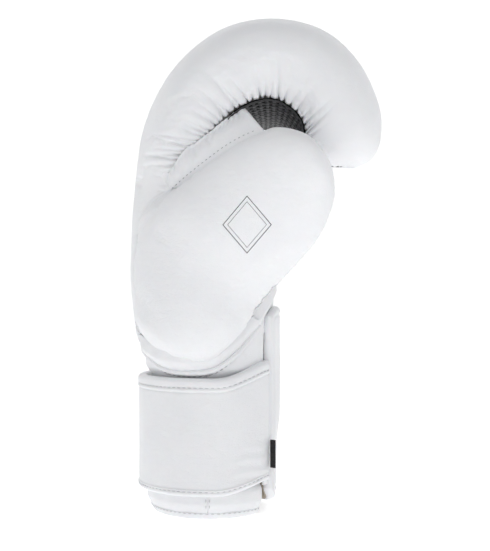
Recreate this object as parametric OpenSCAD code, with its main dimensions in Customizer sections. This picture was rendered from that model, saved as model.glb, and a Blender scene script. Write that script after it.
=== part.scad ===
// Left-hand boxing glove with a hook-and-loop wrist strap.
// Millimetres. Origin: centre of the cuff mouth, on the plane the cuff hem stands on.
// +Z runs up the hand, +X is the palm side, -Y is the thumb side.

/* [Cuff] */
// Half depth of the cuff, from the back of the wrist to the palm
cuff_rx = 35; // [32:1:38]
// Half width of the cuff, from the thumb side to the little-finger side
cuff_ry = 44; // [41:1:47]
// Foam thickness in the cuff wall
cuff_foam_t = 6; // [4:0.5:7]
// Half angle of the slit in the palm side of the cuff
slit_angle = 31; // [26:1:34]
// Height of the folded hem round the mouth
hem_h = 5; // [4:0.5:8]

/* [Leather and lining] */
// Thickness of the outer leather
leather_t = 1.3; // [1:0.1:1.6]
// Thickness of the cloth lining
lining_t = 0.8; // [0.6:0.1:1]
// Gap left between two layers
layer_gap = 0.25; // [0.2:0.05:0.3]

/* [Padding] */
// Thickness of the palm wall, from the skin to the hand space
palm_wall_t = 4; // [3.5:0.5:5]
// Thickness of the padded side walls of the fist
side_wall_t = 13; // [10:1:15]
// Share of the fist padding that is the soft outer foam
soft_share = 0.5; // [0.4:0.05:0.6]
// Padding round the thumb
thumb_foam_t = 7; // [6:0.5:9]

/* [Wrist strap] */
// Lower edge of the strap
strap_z0 = 14; // [12:1:17]
// Upper edge of the strap
strap_z1 = 81; // [74:1:81]
// Thickness of the strap
strap_t = 5; // [4:0.5:5.5]
// Space under the strap for the two fastener tapes
strap_gap = 2.4; // [2.2:0.1:3]
// Width of the bound edges
binding_w = 7; // [5:0.5:8]

/* [Palm flap] */
// Thickness of the padded flap that closes the slit
flap_t = 6.4; // [5:0.2:7]
// Lower end of the flap
flap_z0 = 6; // [5:1:12]
// Upper end of the flap
flap_z1 = 121; // [112:1:121]

/* [Hidden] */

white = [0.95, 0.95, 0.95];
black = [0.06, 0.06, 0.07];
foam = [0.86, 0.84, 0.76];
cloth = [0.80, 0.79, 0.76];
beige = [0.72, 0.66, 0.58];

// The fist is a tube that curls over the knuckles. Each station is one ring of it:
// [outer x, outer z, inner x, inner z, near half width, far half width, foam, near edge angle].
fist = [
    [-43.5, 100, 40, 130, 44, 47, 11, 20],
    [-46, 132, 38, 144, 45, 50, 15, 22],
    [-46, 157, 34, 162, 45.5, 52, 19, 27],
    [-44.5, 184, 28, 182, 46.5, 54, 23, 60],
    [-39, 224, 21, 204, 50, 56, 28, 93],
    [-22, 260, 22.5, 221, 54, 57, 31, 121],
    [6, 283, 29.5, 225.5, 56, 57, 30, 125],
    [35, 290, 36.5, 226, 56, 57, 29, 125],
    [64, 284.5, 42.5, 223.5, 56, 56, 28, 129],
    [87, 266.5, 47, 218, 54.5, 55, 27, 132],
    [99.5, 241, 51.5, 212, 51.5, 52, 26, 150],
    [101.5, 221, 58.5, 207.5, 46, 47, 24, 178],
    [97, 209.5, 68, 205.5, 36, 37, 18, 200],
    [89, 205.5, 77, 204.5, 20, 20, 9, 215],
    [84.5, 205, 82, 204.9, 4, 4, 3, 222]];
fist_end = len(fist) - 1;
// How far the lower edge of the fist hangs down at the two sides
side_drop = 26;
// Facets across the hood and across the thin inner wall
hood_cols = 16;
wall_cols = 7;
grip_r = 4.5;
// How square the tube is in section: 2 is an ellipse, and more is squarer
squareness = 2.5;
// Station where the palm leather ends and the mesh begins
mesh_from = 4.5;
// Station past which the near side is closed by the mesh
closed_from = 5;

// The thumb and the pad at its root are one lobe. Each station is one ring of it:
// [upper edge x, y, z, lower edge x, y, z, depth outwards, depth inwards].
lobe = [
    [-39.5, -27, 105, -27, -37, 95, 5, 1],
    [-42, -26, 114.5, -14, -46, 91, 14, 1],
    [-42.5, -25, 130, 1.5, -48.5, 90.5, 20, 1.5],
    [-42, -26, 148, 17, -48.5, 103.5, 25, 2],
    [-38.5, -31, 165, 32.5, -44, 123, 29, 3],
    [-25, -43, 182.5, 46.5, -45, 139, 31, 5],
    [-7.5, -51, 197, 58.5, -52, 153, 30, 7.5],
    [8, -58, 207.5, 66, -60, 165, 28, 9.5],
    [22.5, -65, 215.5, 70, -66, 177, 25.5, 10.5],
    [37, -70, 220, 70.5, -71, 187.5, 21.5, 11],
    [51, -73.5, 217.5, 67.5, -74, 200, 14, 8],
    [59.5, -75, 211.5, 61, -75, 210, 1.5, 1]];
lobe_end = len(lobe) - 1;
// Station where the moving thumb meets the fixed pad
thumb_from = 6;
// Gap between them, in stations
thumb_slack = 0.012;

function unit(a) = a / norm(a);
function mix(a, b, k) = a + (b - a) * k;
// Smooth curve through a list of stations
function spline(p, u) = let(i = min(floor(u), len(p) - 2), k = u - i,
    a = p[max(i - 1, 0)], b = p[i], c = p[i + 1], d = p[min(i + 2, len(p) - 1)])
    0.5 * ((2 * b) + (c - a) * k + (2 * a - 5 * b + 4 * c - d) * k * k
        + (3 * b - a - 3 * c + d) * k * k * k);

// The hand space stops short of the fingertip end of the fist and closes there
function core_station(u) = u - 1.8 * pow(u / fist_end, 6);
function core_taper(u) = sqrt(max(1 - pow(max(u - fist_end + 3, 0) / 3, 2), 0.002));
function squared(t) = sign(t) * pow(abs(t), 2 / squareness);
function fist_drop(u, angle) = side_drop * pow(max(1 - u / 2.5, 0), 2) * pow(sin(angle), 2);
function fist_across(s) = unit([s[0] - s[2], 0, s[1] - s[3]]);
function fist_span(s) = norm([s[0] - s[2], s[1] - s[3]]);
function fist_half_width(s, angle) = sin(angle) < 0 ? s[4] : s[5];
function fist_skin(u, angle) = let(s = spline(fist, u))
    [s[2], 0, s[3]] + fist_across(s) * (fist_span(s) / 2) * (1 + squared(cos(angle)))
        + [0, fist_half_width(s, angle) * squared(sin(angle)), -fist_drop(u, angle)];
function fist_core(u, angle) = let(s = spline(fist, core_station(u)), taper = core_taper(u),
    hollow = max(fist_span(s) - palm_wall_t - s[6], 1) / 2)
    [s[2], 0, s[3]] + fist_across(s) * (palm_wall_t + hollow * (1 + taper * squared(cos(angle))))
        + [0, taper * max(fist_half_width(s, angle) - side_wall_t, 1) * squared(sin(angle)),
            -fist_drop(u, angle)];
// A point of the fist: u is the station, angle goes round the tube from its outer side,
// and w runs from the hand space (0) to the skin (1).
function fist_point(u, angle, w) = mix(fist_core(u, angle), fist_skin(u, angle), w);
function fist_depth(u, angle) = norm(fist_skin(u, angle) - fist_core(u, angle));
// The same point, with its depth in millimetres from the skin, or from the hand space
function fist_from_skin(u, angle, d) = fist_point(u, angle, 1 - d / fist_depth(u, angle));
function fist_from_hand(u, angle, d) = fist_point(u, angle, d / fist_depth(u, angle));
function near_edge(u) = -spline(fist, u)[7];
// Angle of the seam between the hood and the palm on the far side
function far_seam(u) = 108 + 18 * min(u / 4, 1);
// Edge of the inner wall on the near side: it leaves a way to the thumb, then closes
function inner_edge(u, slack) = mix(232, 360 + near_edge(u), min(max(u - closed_from + 1, 0), 1))
    - slack;

// A point of the thumb lobe: angle 0 is the upper edge, -90 faces away from the fist
function lobe_point(u, angle, depth) = let(
    past = max(u - thumb_from, 0) / (lobe_end - thumb_from),
    s = spline(lobe, u - depth * 0.09 * pow(past, 4)),
    upper = [s[0], s[1], s[2]], lower = [s[3], s[4], s[5]],
    along = unit(upper - lower), out = unit([0, -1, 0] + along * along[1]),
    half = max(norm(upper - lower) / 2 - depth, 0.3),
    bulge = max((sin(angle) < 0 ? s[6] : s[7]) - depth, 0.2))
    mix(lower, upper, 0.5) + along * half * cos(angle) - out * bulge * sin(angle);

// A point of the cuff: angle 0 is the palm side, -90 the thumb side
function cuff_point(angle, z, out) = [(cuff_rx + out) * cos(angle), (cuff_ry + out) * sin(angle), z];
// Height of the seam where the cuff meets the padded fist
function cuff_top(angle) = 101 + 16 * cos(angle) + 14 * cos(2 * angle);

// Closed solid between two skins of a curved sheet. point(u, v, w) gives the skins at w 0 and 1.
module sheet(point, u0, u1, nu, v0, v1, nv, ring = false) {
    cols = ring ? nv : nv + 1;
    count = (nu + 1) * cols;
    function id(i, j, w) = w * count + i * cols + j % cols;
    function quad(a, b, c, d) = [[a, b, c], [a, c, d]];
    points = [for (w = [0, 1], i = [0:nu], j = [0:cols - 1])
        point(mix(u0, u1, i / nu), mix(v0, v1, j / nv), w)];
    skins = [for (i = [0:nu - 1], j = [0:nv - 1])
        each concat(quad(id(i, j, 1), id(i, j + 1, 1), id(i + 1, j + 1, 1), id(i + 1, j, 1)),
            quad(id(i, j, 0), id(i + 1, j, 0), id(i + 1, j + 1, 0), id(i, j + 1, 0)))];
    ends = [for (j = [0:nv - 1])
        each concat(quad(id(0, j, 0), id(0, j + 1, 0), id(0, j + 1, 1), id(0, j, 1)),
            quad(id(nu, j, 0), id(nu, j, 1), id(nu, j + 1, 1), id(nu, j + 1, 0)))];
    sides = ring ? [] : [for (i = [0:nu - 1])
        each concat(quad(id(i, 0, 0), id(i, 0, 1), id(i + 1, 0, 1), id(i + 1, 0, 0)),
            quad(id(i, nv, 0), id(i + 1, nv, 0), id(i + 1, nv, 1), id(i, nv, 1)))];
    polyhedron(points, concat(skins, ends, sides), convexity = 6);
}

// One layer of the padded hood, between two skins given as functions of u and angle
module hood_layer(inside, outside, u0, u1) {
    sheet(function(u, v, w) let(angle = mix(near_edge(u), far_seam(u), v))
        w == 1 ? outside(u, angle) : inside(u, angle), u0, u1, round(2 * (u1 - u0)), 0, 1, hood_cols);
}
module hood_leather() {
    color(white) hood_layer(function(u, a) fist_from_skin(u, a, leather_t),
        function(u, a) fist_skin(u, a), 0, fist_end);
}
// The padding is in two layers, each in three lengths: back of the hand, knuckles and fingertips
pad_cuts = [0, 4.5, 9, fist_end];
module hood_foam_outer(part) {
    color(foam) hood_layer(function(u, a) fist_point(u, a, 1 - soft_share),
        function(u, a) fist_from_skin(u, a, leather_t + layer_gap),
        pad_cuts[part] + 0.01, pad_cuts[part + 1] - 0.01);
}
module hood_foam_inner(part) {
    color(foam) hood_layer(function(u, a) fist_from_hand(u, a, lining_t + layer_gap),
        function(u, a) fist_point(u, a, 0.98 - soft_share),
        pad_cuts[part] + 0.01, pad_cuts[part + 1] - 0.01);
}
// The lining follows the hood round to the far seam, then the thin inner wall
module hand_lining() {
    cols = hood_cols + wall_cols;
    color(cloth) sheet(function(u, v, w) let(
            angle = v <= hood_cols ? mix(near_edge(u), far_seam(u), v / hood_cols)
                : mix(far_seam(u), inner_edge(u, 2), (v - hood_cols) / wall_cols))
        fist_from_hand(u, angle, w * lining_t), 0.5, fist_end - 0.5, 2 * fist_end - 2, 0, cols, cols);
}
// One layer of the thin wall on the inner side of the tube, from the far seam to the near seam
module inner_wall(inside, outside, u0, u1, nu) {
    sheet(function(u, v, w) let(angle = mix(far_seam(u) + 1, inner_edge(u, 1), v))
        w == 1 ? outside(u, angle) : inside(u, angle), u0, u1, nu, 0, 1, wall_cols);
}
module palm_leather() {
    color(white) inner_wall(function(u, a) fist_from_skin(u, a, leather_t),
        function(u, a) fist_skin(u, a), 0, mesh_from, 9);
}
module palm_foam() {
    color(foam) inner_wall(function(u, a) fist_from_hand(u, a, lining_t + layer_gap),
        function(u, a) fist_from_skin(u, a, leather_t + layer_gap), 0.5, mesh_from, 8);
}
module palm_mesh() {
    color(black) inner_wall(function(u, a) fist_from_skin(u, a, leather_t),
        function(u, a) fist_skin(u, a), mesh_from + 0.02, fist_end, 19);
}
// Strip that ties the thumb to the fist
module thumb_web() {
    color(white) sheet(function(u, v, w) let(
            hood_u = mix(3.3, 5.9, u),
            hood_side = fist_skin(hood_u, near_edge(hood_u)),
            thumb_side = lobe_point(mix(5.2, 8.6, u), 0, 0),
            out = unit(cross([0.7, -0.1, 0.6], thumb_side - hood_side)))
        mix(hood_side, thumb_side, mix(0.3, 0.86, v)) + out * w * leather_t,
        0.04, 1, 10, 0, 1, 3);
}
// Panel between the palm and the inner side of the thumb
module thumb_gusset() {
    color(white) sheet(function(u, v, w) let(
            palm_side = fist_skin(mix(0.1, 2.9, u), inner_edge(0, -2)),
            thumb_side = lobe_point(mix(2.9, 5.3, u), 179, 0))
        mix(palm_side, thumb_side, mix(0.04, 0.84, v)) + [0.3, 0.8, 0] * w * leather_t,
        0, 1, 20, 0, 1, 4);
}
// Padded roll that the fingers close on, sewn in across the inside of the curl
module grip_bar() {
    color(white) translate([35, 28, 238]) rotate([90, 0, 0]) cylinder(r = grip_r, h = 56);
}

module lobe_layer(d0, d1, u0, u1, nu, a0, a1, na, ring = false) {
    sheet(function(u, v, w) lobe_point(u, v, mix(d1, d0, w)), u0, u1, nu, a0, a1, na, ring);
}
module thenar_leather() {
    color(white) lobe_layer(0, leather_t, 0, thumb_from - thumb_slack, 12, -180, 0, 14);
}
module thenar_foam() {
    color(foam) lobe_layer(leather_t + layer_gap, thumb_foam_t, 0.5, thumb_from - thumb_slack,
        11, -180, 0, 14);
}
module thumb_leather() {
    color(white) lobe_layer(0, leather_t, thumb_from + thumb_slack, lobe_end, 10, 0, 360, 20, true);
}
module thumb_foam() {
    color(foam) lobe_layer(leather_t + layer_gap, thumb_foam_t, thumb_from + thumb_slack,
        lobe_end - 0.5, 9, 0, 360, 20, true);
}
module thumb_lining() {
    color(cloth) lobe_layer(thumb_foam_t + layer_gap, thumb_foam_t + layer_gap + lining_t,
        thumb_from + thumb_slack, lobe_end - 1.5, 7, 0, 360, 20, true);
}

// A wall of the cuff between two offsets from its face
module cuff_wall(o0, o1, a0, a1, na, short = 2) {
    sheet(function(u, v, w) cuff_point(u, mix(hem_h, cuff_top(u) - short, v), mix(o0, o1, w)),
        a0, a1, na, 0, 1, 4);
}
// Angle of the seam down the thumb side
cuff_seam = -88;
module cuff_leather_thumb_side() {
    color(white) {
        cuff_wall(-leather_t, 0, cuff_seam, -slit_angle, 12);
        cuff_wall(-leather_t, 0, -180, cuff_seam - 0.6, 18);
    }
}
module cuff_leather_little_finger_side() {
    color(white) cuff_wall(-leather_t, 0, slit_angle, 179.4, 26);
}
foam_out = -leather_t - layer_gap;
foam_in = foam_out - cuff_foam_t;
module cuff_foam_thumb_side() {
    color(foam) cuff_wall(foam_in, foam_out, -179.7, -slit_angle - 1, 20, 8);
}
module cuff_foam_little_finger_side() {
    color(foam) cuff_wall(foam_in, foam_out, slit_angle + 1, 179.7, 20, 8);
}
lining_out = foam_in - layer_gap;
module cuff_lining() {
    color(cloth) cuff_wall(lining_out - lining_t, lining_out, slit_angle + 1, 359 - slit_angle, 36, 8);
}
function arc_points(out, a0, a1, n) = [for (i = [0:n]) let(a = mix(a0, a1, i / n))
    [(cuff_rx + out) * cos(a), (cuff_ry + out) * sin(a)]];
// Flat plan of a band round the cuff, with the ends cut square
module band(o0, o1, a0, a1, n) {
    polygon(concat(arc_points(o1, a0, a1, n), arc_points(o0, a1, a0, n)));
}
module cuff_hem() {
    color(white) linear_extrude(hem_h - layer_gap)
        band(lining_out - lining_t, 0.6, slit_angle, 360 - slit_angle, 60);
}
piping_r = 1.6;
// Corded edge where the cuff is sewn to the padded fist
module hood_piping() {
    color(white) sheet(function(u, v, w) let(
            z = max(cuff_top(u) - 3.8, strap_z1 + piping_r + 0.5),
            c = cuff_point(u, z, piping_r + 0.3),
            out = unit([cos(u) / cuff_rx, sin(u) / cuff_ry, 0]))
        c + (w == 1 ? piping_r : 0.3) * (out * cos(v) + [0, 0, sin(v)]),
        flap_a0 - 11, flap_a1 + 9 - 360, 36, 0, -360, 6, ring = true);
}
module loop_patch() {
    color(black) translate([0, 0, strap_z0 + binding_w + 2])
        linear_extrude(strap_z1 - strap_z0 - 2 * binding_w - 4) band(0.1, 1.1, 128, 186, 16);
}

// The strap lies on the cuff in three lengths that can bend where they meet.
// Its angles run from the palm flap, round the thumb side, to the back of the wrist.
strap_in = strap_gap;
strap_out = strap_gap + strap_t;
strap_root_angle = -33;
strap_cuts = [strap_root_angle, -104, -168, -222];
cut_slack = 0.35;
cover_t = 1.2;
module strap_band(part, o0, o1, z0, z1, trim) {
    translate([0, 0, z0]) linear_extrude(z1 - z0)
        band(o0, o1, strap_cuts[part + 1] + (part < 2 ? cut_slack : trim),
            strap_cuts[part] - (part > 0 ? cut_slack : 0), 16);
}
module strap_cover(part) {
    color(white) strap_band(part, strap_out - cover_t, strap_out, strap_z0 + binding_w + 0.3,
        strap_z1 - binding_w - 0.3, 3);
}
module strap_core(part) {
    color(foam) strap_band(part, strap_in + cover_t + 0.2, strap_out - cover_t - 0.2,
        strap_z0 + binding_w + 0.3, strap_z1 - binding_w - 0.3, 3);
}
module strap_lining(part) {
    color(cloth) strap_band(part, strap_in, strap_in + cover_t, strap_z0 + binding_w + 0.3,
        strap_z1 - binding_w - 0.3, 3);
}
module strap_binding(part) {
    color(white) {
        strap_band(part, strap_in, strap_out + 0.6, strap_z0, strap_z0 + binding_w, 0);
        strap_band(part, strap_in, strap_out + 0.6, strap_z1 - binding_w, strap_z1, 0);
    }
}
module hook_tape() {
    color(black) translate([0, 0, strap_z0 + binding_w + 4])
        linear_extrude(strap_z1 - strap_z0 - 2 * binding_w - 8)
            band(strap_in - 1, strap_in - 0.1, strap_cuts[3] + 4, strap_cuts[2] - 2, 14);
}

// The padded flap is hinged along its far edge and carries the root of the strap
flap_a0 = -slit_angle - 0.4;
flap_a1 = 38;
module flap_layer(o0, o1, trim) {
    sheet(function(u, v, w) let(
            rounding = 9 * pow(abs(2 * u - 1), 5),
            low = flap_z0 + trim + rounding, high = flap_z1 - trim - rounding * 0.6)
        cuff_point(mix(flap_a0 + trim, flap_a1 - trim, u), mix(low, high, v), mix(o0, o1, w)),
        0, 1, 12, 0, 1, 8);
}
flap_in = 0.5;
module flap_leather() {
    color(white) flap_layer(flap_in + flap_t - leather_t, flap_in + flap_t, 0);
}
module flap_foam() {
    color(foam) flap_layer(flap_in + 1.2, flap_in + flap_t - leather_t - layer_gap, 1);
}
module flap_lining() {
    color(beige) flap_layer(flap_in, flap_in + 0.95, 0);
}
// Folded black tab sewn on at the root of the strap
module woven_tab() {
    color(black) translate([0, 0, 28]) linear_extrude(16)
        band(strap_out + 0.05, strap_out + 3.5, strap_root_angle - 1.7, strap_root_angle - 0.3, 1);
}

hood_leather();
hood_foam_outer(0);  // back_foam_outer
hood_foam_outer(1);  // knuckle_foam_outer
hood_foam_outer(2);  // fingertip_foam_outer
hood_foam_inner(0);  // back_foam_inner
hood_foam_inner(1);  // knuckle_foam_inner
hood_foam_inner(2);  // fingertip_foam_inner
hand_lining();
palm_leather();
palm_foam();
palm_mesh();
thumb_web();
thumb_gusset();
grip_bar();
hood_piping();
thenar_leather();
thenar_foam();
cuff_leather_thumb_side();
cuff_leather_little_finger_side();
cuff_foam_thumb_side();
cuff_foam_little_finger_side();
cuff_lining();
cuff_hem();
loop_patch();
thumb_leather();
thumb_foam();
thumb_lining();
flap_leather();
flap_foam();
flap_lining();
woven_tab();
strap_cover(0);  // strap_cover_root
strap_core(0);  // strap_core_root
strap_lining(0);  // strap_lining_root
strap_binding(0);  // strap_binding_root
strap_cover(1);  // strap_cover_middle
strap_core(1);  // strap_core_middle
strap_lining(1);  // strap_lining_middle
strap_binding(1);  // strap_binding_middle
strap_cover(2);  // strap_cover_end
strap_core(2);  // strap_core_end
strap_lining(2);  // strap_lining_end
strap_binding(2);  // strap_binding_end
hook_tape();
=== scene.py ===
"""Looks of a white leather training glove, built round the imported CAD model."""
import math

import bmesh
import bpy
import numpy as np
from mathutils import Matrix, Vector, noise
from mathutils.bvhtree import BVHTree


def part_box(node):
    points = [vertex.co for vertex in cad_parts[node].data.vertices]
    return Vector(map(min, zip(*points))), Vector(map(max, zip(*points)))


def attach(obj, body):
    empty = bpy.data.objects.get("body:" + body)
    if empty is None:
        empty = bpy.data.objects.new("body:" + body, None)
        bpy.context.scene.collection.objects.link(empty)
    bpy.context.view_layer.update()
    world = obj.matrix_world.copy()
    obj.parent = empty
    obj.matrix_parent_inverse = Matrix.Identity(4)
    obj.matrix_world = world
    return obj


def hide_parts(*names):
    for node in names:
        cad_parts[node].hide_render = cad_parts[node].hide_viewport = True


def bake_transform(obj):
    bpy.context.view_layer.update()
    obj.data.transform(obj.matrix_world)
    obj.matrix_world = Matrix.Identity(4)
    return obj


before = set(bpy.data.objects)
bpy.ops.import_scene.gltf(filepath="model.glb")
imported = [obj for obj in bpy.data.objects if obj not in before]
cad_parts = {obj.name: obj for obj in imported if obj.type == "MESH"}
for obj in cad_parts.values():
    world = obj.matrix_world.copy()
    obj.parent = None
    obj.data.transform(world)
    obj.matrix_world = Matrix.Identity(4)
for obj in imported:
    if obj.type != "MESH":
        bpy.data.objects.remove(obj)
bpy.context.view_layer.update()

MM = 0.001
PI = math.pi
LEVEL = np.array([1, 1, 0])

# Driving sizes of the part, in millimetres
CUFF_RX = 35.0
CUFF_RY = 44.0
SLIT = 31.0
HEM_H = 5.0
STRAP_Z0 = 14.0
STRAP_Z1 = 81.0
STRAP_H = STRAP_Z1 - STRAP_Z0
STRAP_MID = (STRAP_Z0 + STRAP_Z1) / 2
STRAP_IN = 2.4
STRAP_OUT = 7.4
STRAP_CUTS = (-33.0, -104.0, -168.0, -222.0)
FLAP_A0 = -31.4
FLAP_A1 = 38.0
FLAP_IN = 0.5
FLAP_OUT = 6.9
FLAP_Z0 = 6.0
FLAP_Z1 = 121.0

# Rings of the fist, as in the part:
# outer x, outer z, inner x, inner z, near half width, far half width, foam, near edge angle
FIST = np.array([
    [-43.5, 100, 40, 130, 44, 47, 11, 20],
    [-46, 132, 38, 144, 45, 50, 15, 22],
    [-46, 157, 34, 162, 45.5, 52, 19, 27],
    [-44.5, 184, 28, 182, 46.5, 54, 23, 60],
    [-39, 224, 21, 204, 50, 56, 28, 93],
    [-22, 260, 22.5, 221, 54, 57, 31, 121],
    [6, 283, 29.5, 225.5, 56, 57, 30, 125],
    [35, 290, 36.5, 226, 56, 57, 29, 125],
    [64, 284.5, 42.5, 223.5, 56, 56, 28, 129],
    [87, 266.5, 47, 218, 54.5, 55, 27, 132],
    [99.5, 241, 51.5, 212, 51.5, 52, 26, 150],
    [101.5, 221, 58.5, 207.5, 46, 47, 24, 178],
    [97, 209.5, 68, 205.5, 36, 37, 18, 200],
    [89, 205.5, 77, 204.5, 20, 20, 9, 215],
    [84.5, 205, 82, 204.9, 4, 4, 3, 222]])
FIST_END = len(FIST) - 1
# Rings of the thumb lobe: upper edge x, y, z, lower edge x, y, z, depth outwards and inwards
LOBE = np.array([
    [-39.5, -27, 105, -27, -37, 95, 5, 1],
    [-42, -26, 114.5, -14, -46, 91, 14, 1],
    [-42.5, -25, 130, 1.5, -48.5, 90.5, 20, 1.5],
    [-42, -26, 148, 17, -48.5, 103.5, 25, 2],
    [-38.5, -31, 165, 32.5, -44, 123, 29, 3],
    [-25, -43, 182.5, 46.5, -45, 139, 31, 5],
    [-7.5, -51, 197, 58.5, -52, 153, 30, 7.5],
    [8, -58, 207.5, 66, -60, 165, 28, 9.5],
    [22.5, -65, 215.5, 70, -66, 177, 25.5, 10.5],
    [37, -70, 220, 70.5, -71, 187.5, 21.5, 11],
    [51, -73.5, 217.5, 67.5, -74, 200, 14, 8],
    [59.5, -75, 211.5, 61, -75, 210, 1.5, 1]])
LOBE_END = len(LOBE) - 1
SQUARENESS = 2.5
SIDE_DROP = 26.0
PALM_WALL = 4.0
SIDE_WALL = 13.0
MESH_FROM = 4.5
CLOSED_FROM = 5.0
# Angle, in degrees, where the palm's leather meets the gusset and the mesh
PALM_EDGE = 232


# ---------------------------------------------------------------- shapes


def spline(table, u):
    """Smooth curve through a table's rows, for an array of stations."""
    u = np.asarray(u, float)
    i = np.minimum(np.floor(u).astype(int), len(table) - 2)
    k = (u - i)[..., None]
    a = table[np.maximum(i - 1, 0)]
    b = table[i]
    c = table[i + 1]
    d = table[np.minimum(i + 2, len(table) - 1)]
    return 0.5 * (2 * b + (c - a) * k + (2 * a - 5 * b + 4 * c - d) * k ** 2
                  + (3 * b - a - 3 * c + d) * k ** 3)


def unit(v):
    return v / np.maximum(np.linalg.norm(v, axis=-1, keepdims=True), 1e-9)


def mix(a, b, k):
    return a + (b - a) * k


def smooth(t):
    """0 below 0, 1 above 1, and an even ramp between."""
    t = np.clip(t, 0, 1)
    return t * t * (3 - 2 * t)


def squared(t, power=2 / SQUARENESS):
    """Bends a sine or cosine so that it draws a rounded square instead of a circle."""
    return np.sign(t) * np.abs(t) ** power


def fist_parts(u, a):
    """Values of the rings at station u: table, inner point, span, half width and side drop."""
    s = spline(FIST, u)
    zero = np.zeros_like(s[..., 0])
    inner = np.stack([s[..., 2], zero, s[..., 3]], -1)
    span = np.stack([s[..., 0] - s[..., 2], zero, s[..., 1] - s[..., 3]], -1)
    half = np.where(np.sin(a) < 0, s[..., 4], s[..., 5])
    drop = SIDE_DROP * np.maximum(1 - u / 2.5, 0) ** 2 * np.sin(a) ** 2
    return s, inner, span, half, drop


def fist_skin(u, a):
    """Outside of the padded fist at station u. a goes round from the back of the hand."""
    u, a = np.broadcast_arrays(np.asarray(u, float), np.asarray(a, float))
    inner, span, half, drop = fist_parts(u, a)[1:]
    p = inner + span / 2 * (1 + squared(np.cos(a)))[..., None]
    p[..., 1] += half * squared(np.sin(a))
    p[..., 2] -= drop
    return p


def fist_core(u, a):
    """Outside of the hand space inside the fist."""
    u, a = np.broadcast_arrays(np.asarray(u, float), np.asarray(a, float))
    taper = np.sqrt(np.maximum(1 - (np.maximum(u - FIST_END + 3, 0) / 3) ** 2, 0.002))
    u = u - 1.8 * (u / FIST_END) ** 6
    s, inner, span, half, drop = fist_parts(u, a)
    length = np.linalg.norm(span, axis=-1)
    hollow = np.maximum(length - PALM_WALL - s[..., 6], 1) / 2
    reach = PALM_WALL + hollow * (1 + taper * squared(np.cos(a)))
    p = inner + unit(span) * reach[..., None]
    p[..., 1] += taper * np.maximum(half - SIDE_WALL, 1) * squared(np.sin(a))
    p[..., 2] -= drop
    return p


def near_edge(u):
    """Angle of the seam by the thumb."""
    return -np.radians(spline(FIST, u)[..., 7])


def far_seam(u):
    """Angle of the seam on the little finger's side."""
    return np.radians(108 + 18 * np.minimum(np.asarray(u, float) / 4, 1))


def lobe_point(u, a):
    """Outside of the thumb lobe. a is 0 at the upper edge, and -90 degrees faces outwards."""
    u, a = np.broadcast_arrays(np.asarray(u, float), np.asarray(a, float))
    s = spline(LOBE, u)
    upper, lower = s[..., 0:3], s[..., 3:6]
    along = unit(upper - lower)
    out = unit(np.array([0, -1.0, 0]) + along * along[..., 1:2])
    half = np.maximum(np.linalg.norm(upper - lower, axis=-1) / 2, 0.3)
    bulge = np.where(np.sin(a) < 0, s[..., 6], s[..., 7])
    return (mix(lower, upper, 0.5) + along * (half * np.cos(a))[..., None]
            - out * (bulge * np.sin(a))[..., None])


def cuff_point(a, z, o):
    """A point at angle a, in degrees, height z, and o outside the cuff's face."""
    a, z, o = np.broadcast_arrays(np.radians(a), np.asarray(z, float), np.asarray(o, float))
    return np.stack([(CUFF_RX + o) * np.cos(a), (CUFF_RY + o) * np.sin(a), z], -1)


def cuff_swell(z):
    """The cuff's padding stands out above the strap and just below it, and turns in at the hem."""
    high = 3.6 * smooth((z - STRAP_Z1 + 1) / 7)
    low = 2.6 * smooth((z - 3) / 7) * (1 - smooth((z - STRAP_Z0 - 1) / 6))
    return high + low - 1.6 * (1 - smooth(z / 5))


def cuff_top(a):
    """Height of the cuff's upper edge at angle a, in degrees."""
    return 101 + 16 * np.cos(np.radians(a)) + 14 * np.cos(np.radians(2 * a))


# ---------------------------------------------------------------- grids


def arc(points):
    """Distance along the last but one axis of an array of points."""
    step = np.linalg.norm(np.diff(points, axis=-2), axis=-1)
    return np.concatenate([np.zeros(step.shape[:-1] + (1,)), np.cumsum(step, -1)], -1)


def arc_down(p):
    """Distance along the first axis of a grid of points."""
    return arc(np.swapaxes(p, 0, 1)).T


def spread(surface, u, a0, a1, share, fine=500):
    """Angles at shares of the way, by distance, from a0 to a1 round each ring of a surface."""
    angle = a0[:, None] + (a1 - a0)[:, None] * np.linspace(0, 1, fine)
    rings = arc(surface(u[:, None], angle))
    return np.stack([np.interp(share * s[-1], s, a) for s, a in zip(rings, angle)])


def even_stations(line, u0, u1, count, fine=3000):
    """Stations from u0 to u1 at even distances along a line."""
    u = np.linspace(u0, u1, fine)
    s = arc(line(u))
    return np.interp(np.linspace(0, s[-1], count), s, u)


def dense_ends(count, low, high, width):
    """Shares from 0 to 1, closer together near the ends by the factors low and high."""
    t = np.linspace(0, 1, 4000)
    rate = 1 + (low - 1) * np.exp(-t / width) + (high - 1) * np.exp(-(1 - t) / width)
    s = np.concatenate([[0], np.cumsum((rate[1:] + rate[:-1]) / 2)])
    return np.interp(np.linspace(0, s[-1], count), s, t)


def grid_normals(p):
    """Unit normals of a grid of points."""
    return unit(np.cross(np.gradient(p, axis=0), np.gradient(p, axis=1)))


def outward(p, centre):
    """Normals of a grid, each turned away from its own centre point."""
    n = grid_normals(p)
    return n * np.sign(np.einsum("ijk,ijk->ij", n, p - centre))[..., None]


def grid_faces(nu, nv, wrap=False):
    """Quads of a grid of nu rows of nv points. With wrap each row's end joins its start."""
    i, j = np.meshgrid(np.arange(nu - 1), np.arange(nv if wrap else nv - 1), indexing="ij")
    j2 = (j + 1) % nv
    corners = [i * nv + j, (i + 1) * nv + j, (i + 1) * nv + j2, i * nv + j2]
    return np.stack(corners, -1).reshape(-1, 4)


def capped_faces(nu, nv):
    """Faces of a tube of nu rings of nv points, closed at both ends."""
    ends = [list(range(nv)), list(range((nu - 1) * nv, nu * nv))[::-1]]
    return grid_faces(nu, nv, True).tolist() + ends


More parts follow.
